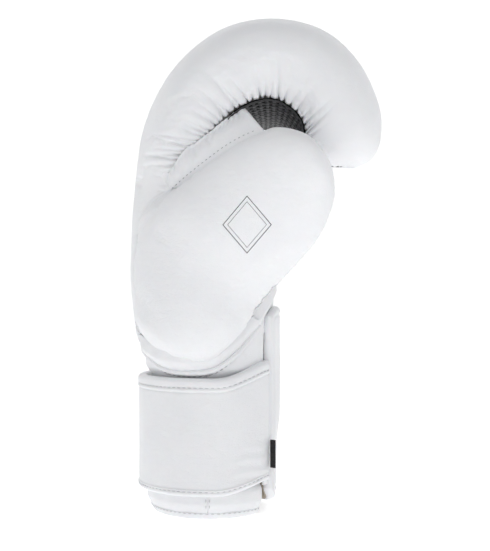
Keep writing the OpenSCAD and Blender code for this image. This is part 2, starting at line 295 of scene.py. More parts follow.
def shade_smooth(me):
    """Shades all of a mesh's faces smooth."""
    me.polygons.foreach_set("use_smooth", np.ones(len(me.polygons), bool))


def add_mesh(name, points, faces, material):
    """A smooth-shaded object from points in millimetres and a list of faces."""
    me = bpy.data.meshes.new(name)
    me.from_pydata((np.asarray(points).reshape(-1, 3) * MM).tolist(), [],
                   faces.tolist() if isinstance(faces, np.ndarray) else faces)
    me.validate()
    me.update()
    shade_smooth(me)
    ob = bpy.data.objects.new(name, me)
    bpy.context.scene.collection.objects.link(ob)
    me.materials.append(material)
    return ob


def add_grid(name, p, material, wrap=False):
    """An object from a grid of points in millimetres."""
    return add_mesh(name, p, grid_faces(*p.shape[:2], wrap), material)


def thicken(ob, thickness, offset=0):
    """Gives a sheet a thickness in millimetres, to both sides or to the side of offset."""
    thick = ob.modifiers.new("thickness", "SOLIDIFY")
    thick.thickness = thickness * MM
    thick.offset = offset


def noise_at(p, scale, seed=0.0, stretch=(1, 1, 1)):
    """Smooth noise from -1 to 1 at an array of points in millimetres."""
    q = p.reshape(-1, 3) / np.asarray(stretch, float) / scale + seed
    return np.array([noise.noise(Vector(v)) for v in q]).reshape(p.shape[:-1])


def pleats(s, t, seed, start, stop, pitch, depth, reach, lean=0.16, width=(0.45, 0.8)):
    """Creases that run away from a seam. s is along the seam and t away from it, in mm."""
    rng = np.random.default_rng(seed)
    drop = np.zeros_like(t)
    at = start
    while at < stop:
        length = rng.uniform(*reach)
        slant = rng.normal(0, lean)
        bend = rng.normal(0, lean / 2) / length
        wide = rng.uniform(*width) * (1 + t / (0.35 * length))
        across = np.abs((s - at - slant * t - bend * t * t) / wide)
        fade = np.clip(1 - t / length, 0, 1) ** 1.3
        drop += depth * rng.uniform(0.6, 1.2) * fade * np.exp(-across ** 1.3)
        at += pitch * rng.uniform(0.65, 1.4)
    return drop


def rounded(distance, radius, least=0.0):
    """0 at an edge and 1 from radius inwards, along a quarter of a circle."""
    k = np.clip(distance / radius, 0, 1)
    return np.sqrt(np.maximum(1 - (1 - k) ** 2, least))


def from_edges(su, sv):
    """Distance to the nearest edge of a grid, from the distances along both its axes."""
    return np.minimum(np.minimum(su, su[-1:] - su), np.minimum(sv, sv[:, -1:] - sv))


def closed_pad(name, point, us, vs, o_mid, o_out, o_in, rounding, material, relief=None):
    """A closed pad between two skins that meet in a rounded edge all round.

    point(u, v, o) is a point at height o across it. The skins lie at the heights o_out and o_in,
    and meet at o_mid. relief(u, v, su, sv) is added to the outer skin, with su and sv the
    distances along the pad in millimetres.
    """
    u, v = np.meshgrid(us, vs, indexing="ij")
    middle = point(u, v, o_mid)
    su, sv = arc_down(middle), arc(middle)
    round_off = rounded(from_edges(su, sv), rounding)
    extra = relief(u, v, su, sv) if relief else 0
    top = point(u, v, o_mid + (o_out - o_mid + extra) * round_off)
    low = point(u, v, o_mid + (o_in - o_mid) * round_off)
    inside = np.zeros(u.shape, bool)
    inside[1:-1, 1:-1] = True
    low_index = np.arange(u.size) + u.size * inside.reshape(-1)
    faces = grid_faces(*u.shape)
    faces = np.concatenate([faces, low_index[faces[:, [0, 3, 2, 1]]]])
    pts = np.concatenate([top.reshape(-1, 3), low.reshape(-1, 3)])
    used = np.unique(faces)
    renumber = np.zeros(len(pts), int)
    renumber[used] = np.arange(len(used))
    return face_outwards(add_mesh(name, pts[used], renumber[faces], material))


def face_outwards(ob):
    """Turns a closed mesh's faces outwards."""
    me = ob.data
    me.calc_loop_triangles()
    co = np.array([v.co for v in me.vertices])
    tri = np.array([t.vertices for t in me.loop_triangles])
    a, b, c = co[tri[:, 0]], co[tri[:, 1]], co[tri[:, 2]]
    if np.einsum("ij,ij->i", a, np.cross(b, c)).sum() < 0:
        me.flip_normals()
    return ob


def circles(side, other, sides):
    """A circle of points for each point of a line, spanned by two directions."""
    a = np.linspace(0, 2 * PI, sides, endpoint=False)[:, None]
    return side[:, None] * np.cos(a) + other[:, None] * np.sin(a)


def tube(name, line, radius, material, sides):
    """A round cord along a line of points, with rounded ends."""
    way = unit(np.gradient(line, axis=0))
    side = unit(np.cross(way, np.array([0, 0, 1.0])))
    s = arc(line)
    r = radius * rounded(np.minimum(s, s[-1] - s), radius, 0.0004)
    p = line[:, None] + r[:, None, None] * circles(side, np.cross(side, way), sides)
    return face_outwards(add_mesh(name, p, capped_faces(len(line), sides), material))


STITCH_STEPS = 5
STITCH_SIDES = 6
STITCH_LIFT = 0.12
STITCH_SINK = 0.25


def stitch_row(line, normal, length, gap, thick):
    """A row of sewn stitches along a line, as one grid of points for each stitch."""
    s = arc(line)
    count = max(int(s[-1] / (length + gap)), 1)
    hump = np.sin(np.linspace(0, PI, STITCH_STEPS))[:, None]
    stitches = []
    for k in range(count):
        at = (k + 0.15) * s[-1] / count + np.linspace(0, length, STITCH_STEPS)
        if at[-1] > s[-1]:
            break
        c, n = (np.stack([np.interp(at, s, axis) for axis in q.T], -1) for q in (line, normal))
        n = unit(n)
        side = unit(np.cross(unit(np.gradient(c, axis=0)), n))
        c = c + n * (STITCH_LIFT * hump - STITCH_SINK * (1 - hump))
        r = thick * (0.55 + 0.45 * hump)
        stitches.append(c[:, None] + r[:, None] * circles(side, 0.7 * n, STITCH_SIDES))
    return stitches


def add_stitches(name, rows, material):
    """One object from several rows of stitches."""
    stitches = [stitch for row in rows for stitch in row]
    one = [face[::-1] for face in capped_faces(STITCH_STEPS, STITCH_SIDES)]
    size = STITCH_STEPS * STITCH_SIDES
    faces = [[k * size + i for i in face] for k in range(len(stitches)) for face in one]
    return add_mesh(name, np.array(stitches), faces, material)


# ---------------------------------------------------------------- materials


class Nodes:
    """Short names for building a node material."""

    def __init__(self, name, color, roughness):
        self.m = bpy.data.materials.new(name)
        self.m.use_nodes = True
        self.t = self.m.node_tree
        self.b = self.t.nodes["Principled BSDF"]
        self.b.inputs["Base Color"].default_value = (*color, 1)
        self.b.inputs["Roughness"].default_value = roughness
        self.height = None

    def new(self, kind, **inputs):
        n = self.t.nodes.new(kind)
        for key, value in inputs.items():
            n.inputs[key].default_value = value
        return n

    def link(self, a, b):
        self.t.links.new(a, b)

    def place(self, scale=(1, 1, 1), turn=(0, 0, 0)):
        """Object coordinates, stretched and turned."""
        c = self.t.nodes.new("ShaderNodeTexCoord")
        m = self.t.nodes.new("ShaderNodeMapping")
        m.inputs["Scale"].default_value = scale
        m.inputs["Rotation"].default_value = turn
        self.link(c.outputs["Object"], m.inputs["Vector"])
        return m.outputs["Vector"]

    def noise(self, at, scale, detail=3.0, roughness=0.5, distortion=0.0):
        n = self.new("ShaderNodeTexNoise", Scale=scale, Detail=detail, Roughness=roughness,
                     Distortion=distortion)
        self.link(at, n.inputs["Vector"])
        return n.outputs["Fac"]

    def cells(self, at, scale, feature="DISTANCE_TO_EDGE"):
        n = self.new("ShaderNodeTexVoronoi", Scale=scale)
        n.feature = feature
        self.link(at, n.inputs["Vector"])
        return n.outputs["Distance"]

    def waves(self, at, scale, direction="X", distortion=0.0):
        n = self.new("ShaderNodeTexWave", Scale=scale, Distortion=distortion)
        n.bands_direction = direction
        self.link(at, n.inputs["Vector"])
        return n.outputs["Fac"]

    def ramp(self, value, low, high, out_low=0.0, out_high=1.0):
        n = self.t.nodes.new("ShaderNodeMapRange")
        n.interpolation_type = "SMOOTHSTEP"
        for key, v in zip(("From Min", "From Max", "To Min", "To Max"),
                          (low, high, out_low, out_high)):
            n.inputs[key].default_value = v
        self.link(value, n.inputs["Value"])
        return n.outputs["Result"]

    def math(self, kind, a, b):
        n = self.t.nodes.new("ShaderNodeMath")
        n.operation = kind
        for i, v in enumerate((a, b)):
            if isinstance(v, (int, float)):
                n.inputs[i].default_value = v
            else:
                self.link(v, n.inputs[i])
        return n.outputs[0]

    def bump(self, height, strength, distance):
        """Adds a layer of relief, distance in metres."""
        n = self.t.nodes.new("ShaderNodeBump")
        n.inputs["Strength"].default_value = strength
        n.inputs["Distance"].default_value = distance
        self.link(height, n.inputs["Height"])
        if self.height is not None:
            self.link(self.height, n.inputs["Normal"])
        self.height = n.outputs["Normal"]
        self.link(self.height, self.b.inputs["Normal"])

    def color(self, fac, low, high):
        """Mixes two base colours."""
        n = self.t.nodes.new("ShaderNodeMix")
        n.data_type = "RGBA"
        n.inputs["A"].default_value = (*low, 1)
        n.inputs["B"].default_value = (*high, 1)
        self.link(fac, n.inputs["Factor"])
        self.link(n.outputs["Result"], self.b.inputs["Base Color"])

    def rough(self, fac, low, high):
        self.link(self.ramp(fac, 0.0, 1.0, low, high), self.b.inputs["Roughness"])


def leather(name, light, dark, roughness=0.42, wrinkle=0.5):
    """Smooth drummed leather: fine grain, faint creases, soft sheen."""
    n = Nodes(name, light, roughness)
    at = n.place()
    n.b.inputs["Coat Weight"].default_value = 0.05
    n.b.inputs["Coat Roughness"].default_value = 0.32
    n.b.inputs["Specular IOR Level"].default_value = 0.3
    n.b.inputs["Subsurface Weight"].default_value = 0.06
    n.b.inputs["Subsurface Scale"].default_value = 0.002
    cloud = n.noise(at, 22.0, 4.0, 0.55)
    n.color(n.ramp(cloud, 0.3, 0.72), dark, light)
    n.rough(n.noise(at, 60.0, 3.0, 0.6), roughness - 0.07, roughness + 0.08)
    n.bump(n.noise(at, 110.0, 4.0, 0.6, 0.3), wrinkle, 0.0009)
    creases = n.noise(n.place((1.0, 1.0, 3.2), (0.3, 0.5, 0.2)), 90.0, 5.0, 0.62, 0.8)
    n.bump(n.ramp(creases, 0.46, 0.54), wrinkle * 0.35, 0.0004)
    n.bump(n.ramp(n.cells(at, 1150.0), 0.0, 0.22), 0.22, 0.00016)
    n.bump(n.noise(at, 2600.0, 2.0, 0.6), 0.18, 0.0001)
    return n.m


def cloth(name, light, dark, threads=700.0, roughness=0.85, sheen=0.35):
    """Plain woven lining."""
    n = Nodes(name, light, roughness)
    at = n.place()
    n.b.inputs["Sheen Weight"].default_value = sheen
    n.b.inputs["Sheen Roughness"].default_value = 0.5
    warp = n.waves(at, threads, "X", 0.6)
    weft = n.waves(at, threads, "Z", 0.6)
    weave = n.math("MULTIPLY", warp, weft)
    n.color(n.ramp(n.noise(at, 45.0, 4.0, 0.6), 0.3, 0.7), dark, light)
    n.rough(n.noise(at, 150.0, 2.0, 0.5), roughness - 0.08, roughness + 0.08)
    n.bump(n.noise(at, 35.0, 3.0, 0.5), 0.4, 0.0012)
    n.bump(weave, 0.5, 0.0002)
    return n.m


def tape(name, light, dark, pile):
    """Hook or loop tape: a dense matt pile."""
    n = Nodes(name, light, 0.9)
    at = n.place()
    n.b.inputs["Sheen Weight"].default_value = 0.5
    n.b.inputs["Sheen Roughness"].default_value = 0.4
    n.color(n.ramp(n.noise(at, pile, 4.0, 0.7), 0.35, 0.65), dark, light)
    n.bump(n.cells(at, pile, "F1"), 0.9, 0.0008)
    n.bump(n.noise(at, pile * 3.0, 3.0, 0.7), 0.6, 0.0003)
    return n.m


def webbing(name, light, dark, sheen):
    """Woven tape or net with fine ribs."""
    n = Nodes(name, light, 0.7)
    at = n.place()
    n.b.inputs["Sheen Weight"].default_value = sheen
    ribs = n.waves(at, 420.0, "Z", 0.3)
    cross = n.waves(at, 600.0, "DIAGONAL", 0.5)
    n.color(n.math("MULTIPLY", ribs, cross), dark, light)
    n.rough(n.noise(at, 300.0, 2.0, 0.5), 0.6, 0.8)
    n.bump(ribs, 0.7, 0.0003)
    n.bump(cross, 0.4, 0.0002)
    return n.m


def net(name, light, dark):
    """Coated mesh: dark, slightly shiny threads."""
    n = Nodes(name, light, 0.42)
    at = n.place()
    n.color(n.noise(at, 500.0, 3.0, 0.6), dark, light)
    n.rough(n.noise(at, 350.0, 2.0, 0.5), 0.34, 0.52)
    n.bump(n.cells(at, 1400.0), 0.5, 0.0002)
    return n.m


def thread(name, color):
    """Twisted sewing thread."""
    n = Nodes(name, color, 0.6)
    at = n.place()
    n.b.inputs["Sheen Weight"].default_value = 0.3
    n.color(n.noise(at, 900.0, 2.0, 0.5), tuple(c * 0.8 for c in color), color)
    n.bump(n.waves(at, 1500.0, "DIAGONAL", 0.4), 0.6, 0.0002)
    return n.m


def ink(name):
    """Matt black print."""
    n = Nodes(name, (0.012, 0.012, 0.014), 0.5)
    at = n.place()
    n.color(n.noise(at, 400.0, 3.0, 0.6), (0.008, 0.008, 0.01), (0.03, 0.03, 0.033))
    n.rough(n.noise(at, 250.0, 2.0, 0.5), 0.4, 0.6)
    n.bump(n.noise(at, 2000.0, 2.0, 0.6), 0.2, 0.0001)
    return n.m


WHITE = leather("white_leather", (0.90, 0.905, 0.92), (0.86, 0.866, 0.885))
WHITE_TRIM = leather("white_trim", (0.89, 0.895, 0.91), (0.84, 0.846, 0.865), 0.46, 0.7)
MESH = net("black_mesh", (0.034, 0.034, 0.037), (0.012, 0.012, 0.013))
# Near-black sheet behind the mesh: painted shade seen through the mesh's holes, darker than any
# black fabric of the glove
MESH_HOLE_SHADE = cloth("mesh_hole_shade_sheet", (0.006, 0.006, 0.007), (0.002, 0.002, 0.002), 500.0, 0.85, 0.0)
LINING = cloth("lining_cloth", (0.72, 0.70, 0.66), (0.60, 0.58, 0.54))
BEIGE = cloth("flap_lining_cloth", (0.55, 0.47, 0.37), (0.45, 0.38, 0.29), 620.0)
LOOP = tape("loop_tape", (0.028, 0.028, 0.03), (0.008, 0.008, 0.009), 900.0)
HOOK = tape("hook_tape", (0.03, 0.03, 0.032), (0.006, 0.006, 0.007), 620.0)
WOVEN = webbing("woven_tape", (0.02, 0.02, 0.022), (0.006, 0.006, 0.007), 0.05)
# Grey thread for the web and piping seams: painted shade of the stitch holes, on thread that is
# white
SHADE_GREY_THREAD = thread("seam_thread_painted_shade", (0.52, 0.53, 0.55))
PALE_THREAD = thread("pale_thread", (0.72, 0.73, 0.745))
INK = ink("print_ink")


# ---------------------------------------------------------------- the padded fist and thumb

HOOD_RINGS = 560
HOOD_COLS = 170
LOBE_RINGS = 330
LOBE_COLS = 230
# Angle, in degrees, up to which the hood goes under the thumb's pad
HOOD_COVER = -78
# A point inside the fist, in metres, that every panel of it faces away from
FIST_MIDDLE = np.array([10.0, 0.0, 185.0]) * MM
# Angles at which the rows of a turned-in edge lie on their bend
EDGE_BENDS = (PI / 2, 1.18, 0.79, 0.39)
CLOTH = {
    "quality": 6,
    "mass": 0.3,
    "tension_stiffness": 22,
    "compression_stiffness": 22,
    "shear_stiffness": 8,
    "bending_stiffness": 0.6,
    "air_damping": 2,
    "use_pressure": True,
    "uniform_pressure_force": 4,
    "vertex_group_mass": "pinned"}
CLOTH_FRAMES = 20


def sewn_to_cuff(p):
    """Draws the lowest edge of a panel of the fist down to the top of the cuff."""
    around = np.degrees(np.arctan2(p[0, :, 1] / CUFF_RY, p[0, :, 0] / CUFF_RX))
    drop = np.maximum(p[0, :, 2] - cuff_top(around) - 0.5, 0)
    near = 1 - smooth(arc_down(p) / 26)
    p = p.copy()
    p[..., 2] -= drop * near
    return p


def hood_grid():
    """Stations, angles and points of the outside of the fist, from seam to seam."""
    def seam_line(u):
        return fist_skin(u, near_edge(u)) * 0.72 + fist_skin(u, 0 * u) * 0.28

    u = even_stations(seam_line, 0.0, FIST_END - 0.02, HOOD_RINGS)
    start = near_edge(u)
    start = mix(np.minimum(start, np.radians(HOOD_COVER)), start, smooth((u - 3.1) / 0.3))
    angle = spread(fist_skin, u, start, far_seam(u), dense_ends(HOOD_COLS, 4.0, 3.0, 0.07))
    return u, angle, sewn_to_cuff(fist_skin(u[:, None], angle))


def lobe_grid():
    """The thumb lobe from its lower edge over the outside to its upper edge, rolled under."""
    u = even_stations(lambda v: lobe_point(v, -PI / 2), 0.02, LOBE_END - 0.01, LOBE_RINGS)
    under = np.radians(mix(58, 89.9, smooth((u - 3.9) / 1.6)))
    angle = spread(lobe_point, u, -PI - under, under, np.linspace(0, 1, LOBE_COLS))
    return u, angle, lobe_point(u[:, None], angle)


def add_panel(name, p, material):
    """A panel of the fist, with its faces turned away from the fist's middle."""
    ob = add_grid(name, p, material)
    co = np.array([v.co for v in ob.data.vertices])
    normal = np.array([v.normal for v in ob.data.vertices])
    if np.einsum("ij,ij->i", normal, co - FIST_MIDDLE).mean() < 0:
        ob.data.flip_normals()
    return ob


def tree_of(p, faces):
    """A search tree of a mesh."""
    return BVHTree.FromPolygons(p.reshape(-1, 3).tolist(), faces.tolist())


def outward_tree(p, n):
    """A tree of a grid whose face normals face the way of n."""
    faces = grid_faces(*p.shape[:2])
    a, b, c = (p.reshape(-1, 3)[faces[:, k]] for k in (0, 1, 3))
    face_n = np.cross(b - a, c - a)
    if np.einsum("ij,ij->i", face_n, n.reshape(-1, 3)[faces[:, 0]]).mean() < 0:
        faces = faces[:, ::-1]
    return tree_of(p, faces)


FLOW_STEPS = 5


def flow_together(p, own, other, reach, give):
    """Moves a skin onto the smooth union of its own surface and another one.

    own and other are trees whose normals face outwards. reach gives, for a point, how wide the
    fillet between them is and how much of the move it takes. What lies well under the other
    surface stays there, and where the two lie together the skin goes give millimetres deeper.
    Gives the new points, and how far each one is tied into the fillet.
    """
    flat = p.reshape(-1, 3).copy()
    tie = np.zeros(len(flat))
    for i, start in enumerate(flat):
        width, part = reach(start)
        if part <= 0:
            continue
        q = Vector(start)
        under = 1.0
        for step in range(FLOW_STEPS):
            hit_a, way_a, _, dist_a = own.find_nearest(q)
            hit_b, way_b, _, dist_b = other.find_nearest(q, 2.5 * width)
            if hit_b is None:
                break
            a = math.copysign(dist_a, (q - hit_a).dot(way_a))
            b = math.copysign(dist_b, (q - hit_b).dot(way_b))
            if step == 0:
                under = min(max((b + 4) / 4, 0), 1)
                k = width * min(max((1 - way_a.dot(way_b)) / 0.4, 0.05), 1)
                if under <= 0:
                    break
            h = max(k - abs(a - b), 0) / k
            f = min(a, b) - h * h * k / 4
            share = 1 - h / 2 if a < b else h / 2
            slope = way_a * share + way_b * (1 - share)
            tie[i] = part * max(h, min(max((a - b) / 3, 0), 1))
            if step == FLOW_STEPS - 1 or abs(f) < 0.01 or slope.length < 0.2:
                sunk = min(max((a - b) * 0.5, 0), 1.3)
                q = q - slope * max(sunk, give * min(max((3 - b) / 3, 0), 1))
                break
            q = q - slope * (f / slope.length_squared)
        flat[i] = start + (np.array(q) - start) * under * part
    return flat.reshape(p.shape), tie.reshape(p.shape[:2])


def fillet(q):
    """Width of the fillet round the thumb at a point, and its share of the move.

    It is wide where the thumb grows out of the back of the hand, and narrow towards the web.
    """
    width = mix(24.0, 2.0, float(smooth((q[2] - 166) / 26)))
    part = (float(smooth((6 - q[0]) / 14)) * float(smooth((-8 - q[1]) / 16))
            * float(smooth((q[2] - 94) / 16)))
    return width * mix(0.1, 1.0, float(smooth((q[0] + 46) / 16))), part


def tuck_under(p, n, other):
    """Takes the lowest part of the fist's skin in under the thumb's pad, with a crease round it."""
    flat = p.reshape(-1, 3).copy()
    way = n.reshape(-1, 3)
    for i, start in enumerate(flat):
        part = float((1 - smooth((start[2] - 94) / 16)) * smooth((-2 - start[1]) / 12))
        if part <= 0:
            continue
        hit, out, _, dist = other.find_nearest(Vector(start), 8.0)
        if hit is None:
            continue
        b = math.copysign(dist, (Vector(start) - hit).dot(out))
        flat[i] = start - way[i] * (1.4 * float(smooth((4 - b) / 3.5)) * part)
    return flat.reshape(p.shape)


def inflate(p, pinned, slack, cap):
    """How far a coarse grid of leather moves when it is blown up over its padding.

    It is a short cloth simulation with the seams pinned, and gives the move of each point in
    millimetres, at most cap.
    """
    ob = add_panel("inflating", p, WHITE)
    group = ob.vertex_groups.new(name=CLOTH["vertex_group_mass"])
    group.add(np.flatnonzero(pinned.reshape(-1)).tolist(), 1.0, "REPLACE")
    leather_cloth = ob.modifiers.new("cloth", "CLOTH")
    settings = leather_cloth.settings
    for key, value in CLOTH.items():
        setattr(settings, key, value)
    settings.shrink_min = -slack
    settings.effector_weights.gravity = 0
    leather_cloth.collision_settings.use_collision = False
    leather_cloth.collision_settings.use_self_collision = False
    scene = bpy.context.scene
    for number in range(1, CLOTH_FRAMES + 1):
        scene.frame_set(number)
    result = ob.evaluated_get(bpy.context.evaluated_depsgraph_get())
    flat = np.empty(len(result.data.vertices) * 3)
    result.data.vertices.foreach_get("co", flat)
    scene.frame_set(1)
    move = flat.reshape(p.shape) / MM - p
    bpy.data.objects.remove(ob)
    size = np.linalg.norm(move, axis=-1, keepdims=True)
    return move * np.minimum(1, cap / np.maximum(size, 1e-6))


def resample(grid, rows, cols):
    """A coarse grid read at fractional rows and columns."""
    i = np.clip(rows, 0, grid.shape[0] - 1.001)
    j = np.clip(cols, 0, grid.shape[1] - 1.001)
    i0, j0 = i.astype(int), j.astype(int)
    fi, fj = smooth(i - i0)[..., None], smooth(j - j0)[..., None]
    return mix(mix(grid[i0, j0], grid[i0 + 1, j0], fi),
               mix(grid[i0, j0 + 1], grid[i0 + 1, j0 + 1], fi), fj)


def swollen(p, step_u, step_v, pin, slack, cap):
    """The simulated swelling of a fine grid, found on every few rows and columns of it."""
    coarse = p[::step_u, ::step_v]
    move = inflate(coarse, pin[::step_u, ::step_v], slack, cap)
    rows, cols = np.meshgrid(np.arange(p.shape[0]) / step_u, np.arange(p.shape[1]) / step_v,
                             indexing="ij")
    return resample(move, rows, cols)


def leather_waves(p):
    """Slow unevenness and fine wrinkles, the same on every panel."""
    slow = noise_at(p, 34.0, 3.1) * 0.6 + noise_at(p, 15.0, 7.7) * 0.18
    along = noise_at(p, 3.6, 5.2, (2.6, 1.0, 1.0)) * 0.07
    across = noise_at(p, 2.2, 9.4, (1, 2.4, 1)) * 0.04
    return slow + (along + across)


def hood_relief(u, p):
    """Height of the sewn-in edges, pleats and swelling of the hood's leather."""
    t_near = arc(p)
    t_far = t_near[:, -1:] - t_near
    s_near, s_far = arc(p[:, 0])[:, None], arc(p[:, -1])[:, None]
    sewn = smooth((u[:, None] - 3.2) / 0.4)
    puff = np.exp(-((t_near - 16) / 12) ** 2) * sewn + 0.8 * np.exp(-((t_far - 14) / 10) ** 2)
    draw = 2.0 * np.exp(-t_near / 2.4) * sewn + 2.6 * np.exp(-t_far / 2.6)
    total, total_far = s_near[-1, 0], s_far[-1, 0]
    start = np.interp(3.3, u, s_near[:, 0])
    crease = pleats(s_near, t_near, 11, start, total, 3.6, 3.1, (16, 40), 0.12, (0.4, 0.62))
    crease += pleats(s_near, t_near, 12, start, total, 1.5, 0.7, (4, 13), 0.1, (0.28, 0.45))
    crease = crease * sewn * smooth((total - s_near - 3) / 16)
    crease += pleats(s_far, t_far, 13, 4, total_far, 4.4, 2.2, (10, 30), 0.12, (0.45, 0.7))
    crease += pleats(s_far, t_far, 14, 2, total_far, 2.0, 0.5, (3, 10), 0.1, (0.3, 0.5))
    return puff - draw - crease - 1.6 * np.exp(-arc_down(p) / 7.0)


def lobe_relief(u, angle, p):
    """Height of the gathers and seams of the thumb's leather."""
    rows = np.arange(len(u))
    lower = np.argmin(np.abs(angle + PI), axis=1)
    upper = np.argmin(np.abs(angle), axis=1)
    ring = arc(p)
    t_low = np.abs(ring - ring[rows, lower][:, None])
    t_up = np.abs(ring - ring[rows, upper][:, None])
    s_low, s_up = arc(p[rows, lower])[:, None], arc(p[rows, upper])[:, None]
    web0, web1 = np.interp((5.3, 8.6), u, s_up[:, 0])
    low0, low1 = np.interp((3.4, 9.3), u, s_low[:, 0])
    u = u[:, None]
    sewn_up = smooth((u - 4.9) / 0.6) * (1 - smooth((u - 8.4) / 0.5))
    sewn_low = smooth((u - 3.2) / 0.6) * (1 - smooth((u - 8.8) / 0.9))
    crease = pleats(s_up, t_up, 21, web0, web1, 3.0, 0.8, (8, 18)) * sewn_up
    crease += pleats(s_low, t_low, 22, low0, low1, 3.3, 1.2, (8, 24)) * sewn_low * 0.5
    crease += pleats(s_low, t_low, 23, low0, low0 + 34, 7.5, 1.4, (16, 30), 0.3,
                     (1.4, 2.2)) * sewn_low
    draw = 2.2 * np.exp(-t_up / 2.2) * sewn_up + 1.4 * np.exp(-t_low / 2.2) * sewn_low
    return -crease - draw


def rolled_in(edge, inward, depth, drop):
    """Rows of points that turn a panel's lowest edge down and inwards."""
    return [edge + inward * depth * math.sin(bend) - np.array([0, 0, drop]) * math.sin(2 * bend)
            for bend in EDGE_BENDS]


def with_tip(p):
    """A grid with its last ring closed at its middle."""
    return np.concatenate([p, np.repeat(p[-1:].mean(1, keepdims=True), p.shape[1], 1)])


def hood_pins(p):
    """The points of the hood that its seams and its ends hold in place."""
    t = arc(p)
    pin = np.minimum(t, t[:, -1:] - t) < 3.0
    pin[:6] = True
    pin[-4:] = True
    return pin


def lobe_pins(p):
    """The points of the thumb's lobe that its seams and its root hold in place."""
    pin = np.zeros(p.shape[:2], bool)
    pin[:, :5] = True
    pin[:, -5:] = True
    pin[:3] = True
    return pin


def raised(p, move, n, rise, tie):
    """A skin with its swelling, relief and waves, less where it is tied into the fillet."""
    free = 1 - smooth(tie * 1.6)
    return p + move * free[..., None] + n * (rise * free - 0.5 + leather_waves(p))[..., None]


def build_hood_and_thumb():
    """The leather of the hood and of the thumb, and the points of the thumb's."""
    u, angle, p = hood_grid()
    n = outward(p, fist_core(u[:, None], angle))
    lobe_u, lobe_angle, lobe = lobe_grid()
    lobe_mid = (lobe[:, LOBE_COLS // 2] + (lobe[:, 0] + lobe[:, -1]) / 2) / 2
    lobe_n = grid_normals(lobe)
    lobe_n = lobe_n * np.sign(np.einsum("ijk,ijk->ij", lobe_n, lobe - lobe_mid[:, None]).mean())
    hood_tree, lobe_tree = outward_tree(p, n), outward_tree(lobe, lobe_n)
    move = swollen(p, 6, 3, hood_pins(p), 0.012, 1.5)
    lobe_move = swollen(lobe, 4, 4, lobe_pins(lobe), 0.008, 1.0)
    rise, lobe_rise = hood_relief(u, p), lobe_relief(lobe_u, lobe_angle, lobe)

    merged, tie = flow_together(p, hood_tree, lobe_tree, fillet, 0.8)
    lobe_merged, lobe_tie = flow_together(lobe, lobe_tree, hood_tree, fillet, 0)
    p = raised(merged, move, n, rise, tie)
    lobe = raised(lobe_merged, lobe_move, lobe_n, lobe_rise, lobe_tie)
    p = tuck_under(p, n, outward_tree(lobe, lobe_n))
    # Each edge of the hood is turned in, and the ends are closed
    p = np.concatenate([p[:, :1] - n[:, :1] * 4.0, p, p[:, -1:] - n[:, -1:] * 3.0], 1)
    edge_angle = np.concatenate([angle[0, :1], angle[0], angle[0, -1:]])
    inward = unit(fist_core(0, edge_angle) - p[0])
    p = np.concatenate([rolled_in(p[0], inward, 6, 2.2), with_tip(p)])
    lobe = with_tip(lobe)
    return add_panel("hood_skin", p, WHITE), add_panel("thumb_skin", lobe, WHITE), lobe


hood, thumb, lobe_points = build_hood_and_thumb()


def thumb_blend(ob):
    """Bakes a piece's transform into its mesh."""
    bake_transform(ob)


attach(hood, "glove")
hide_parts("hood_leather", "back_foam_outer", "knuckle_foam_outer",
            "fingertip_foam_outer", "back_foam_inner", "knuckle_foam_inner",
            "fingertip_foam_inner")
thumb_blend(thumb)
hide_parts("thenar_leather", "thenar_foam", "thumb_leather", "thumb_foam")


# ---------------------------------------------------------------- palm, mesh and thumb panels


def palm_panel():
    """Leather palm, from the far seam round the inner side."""
    us = np.linspace(0.0, MESH_FROM + 0.05, 120)
    a1 = np.full_like(us, np.radians(PALM_EDGE + 1))
    angle = spread(fist_skin, us, far_seam(us), a1, dense_ends(90, 3.0, 1.0, 0.08))
    p = fist_skin(us[:, None], angle)
    n = outward(p, fist_core(us[:, None], angle))
    t = arc(p)
    s = arc(p[:, 0])[:, None]
    rise = -2.6 * np.exp(-t / 2.4) + 0.6 * np.exp(-((t - 12) / 9) ** 2)
    rise -= pleats(s, t, 31, 4, s.max(), 5.6, 0.6, (6, 20))
    rise += noise_at(p, 24.0, 2.2) * 0.5 + noise_at(p, 3.0, 1.1, (1, 2.5, 1)) * 0.05
    end = arc_down(p)
    rise -= 1.2 * np.exp(-(end[-1:] - end) / 1.6)
    p = p + n * rise[..., None]
    p = np.concatenate([p[:, :1] - n[:, :1] * 3, p], 1)
    # The lowest edge is turned in and goes on down inside the cuff
    inward = unit((p[:1].mean((0, 1)) - p[0]) * LEVEL)
    turns = rolled_in(p[0], inward, 4.0, 2.0)
    tongue = turns[0] + inward * 2.0 - np.array([0, 0, 11.0])
    p = np.concatenate([tongue[None], turns, p])
    ob = add_panel("palm_skin", p, WHITE)
    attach(ob, "glove")
    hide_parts("palm_leather", "palm_foam")


MESH_PITCH = 2.8
MESH_BAR = 1.35
MESH_CELLS = 38


